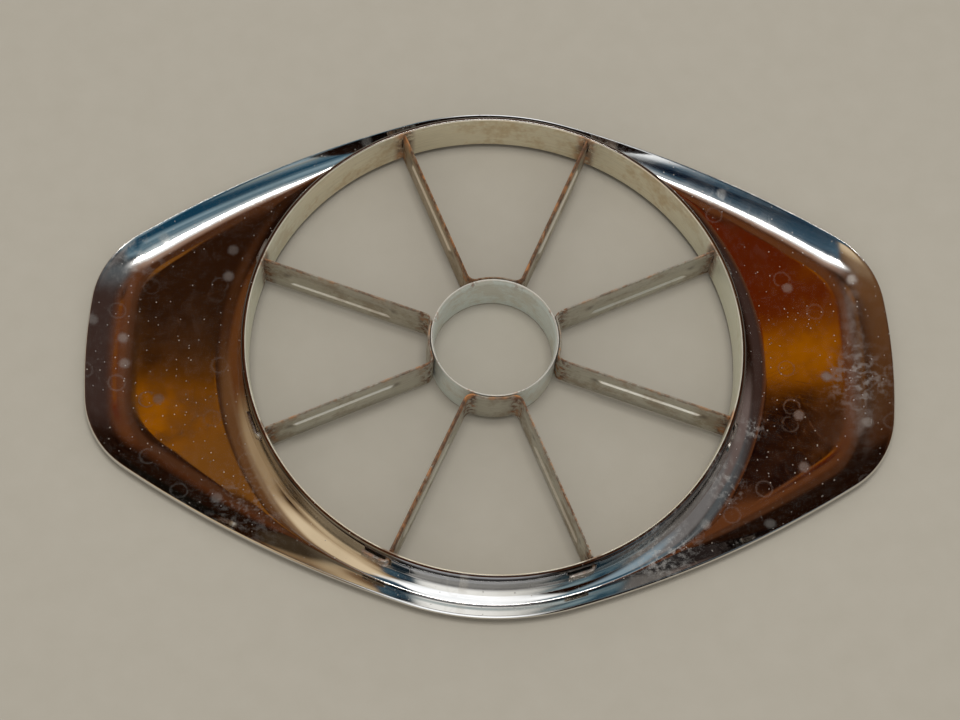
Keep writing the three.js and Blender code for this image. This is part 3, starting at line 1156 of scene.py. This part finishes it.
# %% Room
daylight = (0.58, 0.567, 0.546, 1)
room_dark = (0.016, 0.008, 0.005, 1)
room_dim = (0.026, 0.014, 0.009, 1)
wobble = 0.004
window_soft = 0.25
chrome_tint = (0.73, 0.71, 0.66)
curve_gain = 1.3
curve_toe = 0.02
curve_ceiling = 0.8
room_patches = {
    "brown wall": ((0.16, 0.42), (0.16, 0.20), 0.5, (0.120, 0.048, 0.023)),
    "brown left": ((-0.80, 0.30), (0.32, 0.42), 0.3, (0.120, 0.050, 0.022)),
    "tan left": ((-0.52, -0.04), (0.28, 0.34), 0.5, (0.230, 0.145, 0.090)),
    "light left": ((-0.53, -0.44), (0.31, 0.36), 0.3, (1.000, 0.700, 0.420)),
    "grey right": ((0.74, -0.24), (0.34, 0.34), 0.4, (0.180, 0.172, 0.176)),
    "blue right": ((0.54, -0.52), (0.26, 0.18), 0.5, (0.260, 0.360, 0.440)),
    "grey blue right": ((0.46, 0.17), (0.22, 0.13), 0.5, (0.100, 0.110, 0.120)),
    "cream left": ((-0.92, -0.06), (0.24, 0.22), 0.5, (0.360, 0.240, 0.140)),
    "brown beside left": ((-0.37, 0.47), (0.24, 0.13), 0.6, (0.064, 0.030, 0.016)),
    "tan beside left": ((-0.40, 0.26), (0.28, 0.13), 0.5, (0.135, 0.066, 0.032)),
    "mauve far right": ((0.84, 0.14), (0.22, 0.18), 0.5, (0.150, 0.115, 0.110)),
    "mauve beside right": ((0.50, 0.42), (0.22, 0.20), 0.6, (0.055, 0.036, 0.032)),
    "column": ((0.010, 0.50), (0.040, 0.22), 0.5, (0.080, 0.038, 0.022)),
    "dark far": ((0.29, 0.95), (0.11, 0.10), 0.4, (0.012, 0.010, 0.008)),
    "horizon": ((0.07, 0.88), (0.06, 0.14), 0.3, (0.700, 0.850, 0.900)),
    "sky near": ((0.0, -0.24), (0.14, 0.30), 0.4, (3.400, 3.600, 3.700)),
    "sky left": ((0.08, -0.02), (0.20, 0.08), 0.5, (0.550, 0.680, 0.750)),
    "rug left": ((-0.070, 0.345), (0.050, 0.039), 0.12, (0.180, 0.074, 0.020)),
    "lamp left": ((-0.103, 0.3745), (0.019, 0.0125), 0.15, (0.340, 0.105, 0.000)),
    "dark right": ((0.200, 0.350), (0.032, 0.040), 0.2, (0.014, 0.006, 0.005)),
    "dark red right": ((0.150, 0.436), (0.020, 0.030), 0.6, (0.040, 0.016, 0.010)),
    "rug right": ((0.195, 0.440), (0.045, 0.055), 0.12, (0.100, 0.021, 0.006)),
    "lamp right": ((0.200, 0.397), (0.032, 0.0120), 0.25, (0.330, 0.100, 0.000)),
}
window_patches = {
    "cream": ((0.40, -0.47), (0.06, 0.07), 0.0, (0.080, 0.080, 0.070), (0.500, 0.450, 0.330)),
    "bright": ((-0.06, -0.72), (0.35, 0.34), 0.0, (2.600, 2.800, 2.900), (6.000, 6.200, 6.200)),
    "left rim": ((0.34, -0.26), (0.16, 0.28), 0.0, (0.016, 0.055, 0.095), (0.260, 0.380, 0.460)),
    "right rim": (
        (-0.243, -0.27),
        (0.09, 0.44),
        0.357,
        (0.004, 0.012, 0.026),
        (0.070, 0.125, 0.180),
    ),
}
ceiling_patches = {
    "glow": ((0.05, 0.14), (0.18, 0.09), 0.5, (0.400, 0.250, 0.190)),
    "white": ((0.05, 0.10), (0.22, 0.05), 0.6, (2.200, 2.200, 2.200)),
}


def brought_down(room, color):
    """The room's light, bent so that its reflection in the chrome hardly passes white."""
    seen = room.colors("MULTIPLY", color, chrome_tint)
    bent = room.colors("MULTIPLY", room.colors("MULTIPLY", seen, seen), [curve_gain] * 3)
    whole = room.colors("ADD", seen, [curve_toe] * 3)
    whole = room.colors("MULTIPLY_ADD", bent, [curve_ceiling] * 3, whole)
    return room.colors("DIVIDE", room.colors("DIVIDE", bent, whole), chrome_tint)


def make_world():
    world = bpy.data.worlds.new("dim_room")
    bpy.context.scene.world = world
    world.use_nodes = True
    room = Recipe(world.node_tree)
    toward = room.node("ShaderNodeTexCoord", {}, {}, output="Generated")
    blur = room.noise(toward, 0.05, detail=3.0)
    x, y, z = room.parts(toward)
    x = x + (blur - 0.5) * wobble
    y = y + (room.noise(toward, 0.03, detail=2.0) - 0.5) * wobble

    def patch(middle, reach, soft, lean=0.0):
        """1 inside the oval, 0 outside it and smooth between them, above the horizon only."""
        up = y - middle[1]
        along = up * (1 / reach[1])
        across = (x - middle[0] - up * lean) * (1 / reach[0])
        distance = (across * across + along * along).math("SQRT")
        return (1 - distance.rise(1 - soft, 1 + soft)) * z.rise(0.0, 0.02)

    def lay_over(color, patches):
        for middle, reach, soft, tint in patches.values():
            color = room.mix(patch(middle, reach, soft), color, (*tint, 1))
        return color

    color = room.mix(blur.rise(0.3, 0.7), room_dark, room_dim)
    color = lay_over(color, room_patches)
    panes = room.noise(toward, 0.3, detail=4.0, roughness=0.6).rise(0.36, 0.66)
    for middle, reach, lean, dark, light in window_patches.values():
        pane = room.mix(panes, (*dark, 1), (*light, 1))
        color = room.mix(patch(middle, reach, window_soft, lean), color, pane)
    color = lay_over(color, ceiling_patches)
    glossy = room.node("ShaderNodeLightPath", {}, {}, output="Is Glossy Ray")
    color = room.mix(glossy, daylight, brought_down(room, color))
    room.fill(world.node_tree.nodes["Background"], {"Color": color})
    world.cycles.sampling_method = "NONE"
    return world


print("nodes of the world:", len(make_world().node_tree.nodes))
